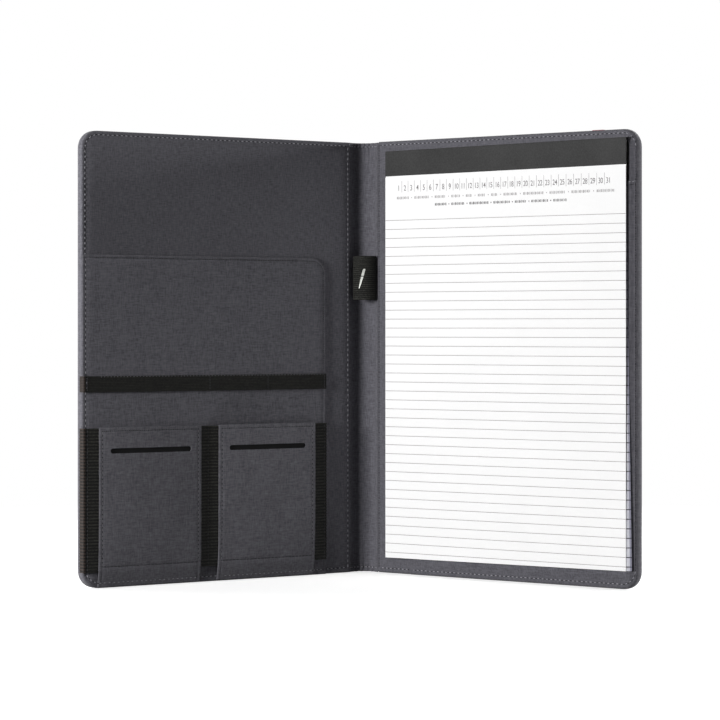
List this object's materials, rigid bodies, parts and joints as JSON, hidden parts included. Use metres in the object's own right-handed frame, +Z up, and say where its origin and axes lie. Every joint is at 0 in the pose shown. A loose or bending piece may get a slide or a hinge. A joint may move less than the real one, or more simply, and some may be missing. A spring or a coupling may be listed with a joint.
{
  "type": "padfolio",
  "caption": "Open A4 padfolio with a writing pad in a sleeve, a document panel, an elastic organiser band, two phone and card pockets, a pen loop and an elastic closure band.",
  "frame": {"origin": "centre of the standing footprint, at the height of the cover's bottom edges", "axes": "+Z up along the spine, +X to the right seen from the reader, the reader is at -Y and the spine at +Y"},
  "size_m": [0.3874, 0.1522, 0.3167],
  "materials": {
    "fabric_shell": "woven polyester, matt",
    "fabric_lining": "woven polyester, matt",
    "elastic": "ribbed elastic",
    "red_tape": "woven tape",
    "grey_board": "unprinted board",
    "foam": "soft foam sheet",
    "paper": "ruled writing paper",
    "grey_card": "pad backing card",
    "head_tape": "dark binding tape",
    "glue": "padding glue"
  },
  "bodies": {
    "spine": {"spine_shell": "fabric_shell", "spine_foam": "foam", "spine_lining": "fabric_lining", "pen_loop": "elastic"},
    "front_cover": {"front_shell": "fabric_shell", "front_board": "grey_board", "front_foam": "foam", "front_lining": "fabric_lining", "document_panel": "fabric_lining", "organiser_band": "elastic", "pocket_gusset": "elastic", "phone_pocket_inner": "fabric_lining", "phone_pocket_outer": "fabric_lining"},
    "back_cover": {"back_shell": "fabric_shell", "back_board": "grey_board", "back_foam": "foam", "back_lining": "fabric_lining", "pad_sleeve": "fabric_lining", "closure_band": "elastic", "closure_tab": "red_tape"},
    "writing_pad": {"pad_card": "grey_card", "pad_glue_strip": "glue", "ruled_sheets": "paper", "head_tape": "head_tape"},
    "top_leaf": {"top_leaf": "paper"}
  },
  "joints": [
    {"name": "front_cover_fold", "type": "hinge", "parent": "spine", "child": "front_cover", "pos_m": [-0.01037, 0.06409, 0.158], "axis": [0, 0, 1], "range_deg": [-37.45, 52.55]},
    {"name": "back_cover_fold", "type": "hinge", "parent": "spine", "child": "back_cover", "pos_m": [0.01037, 0.06409, 0.158], "axis": [0, 0, -1], "range_deg": [-37.45, 52.55]},
    {"name": "pad_slide", "type": "slide", "parent": "back_cover", "child": "writing_pad", "axis": [0, 0, 1], "range_m": [0, 0.27]},
    {"name": "page_turn", "type": "hinge", "parent": "writing_pad", "child": "top_leaf", "pos_m": [0.09949, -0.01172, 0.2911], "axis": [-0.7939, 0.6081, 0], "range_deg": [0, 180]}
  ]
}
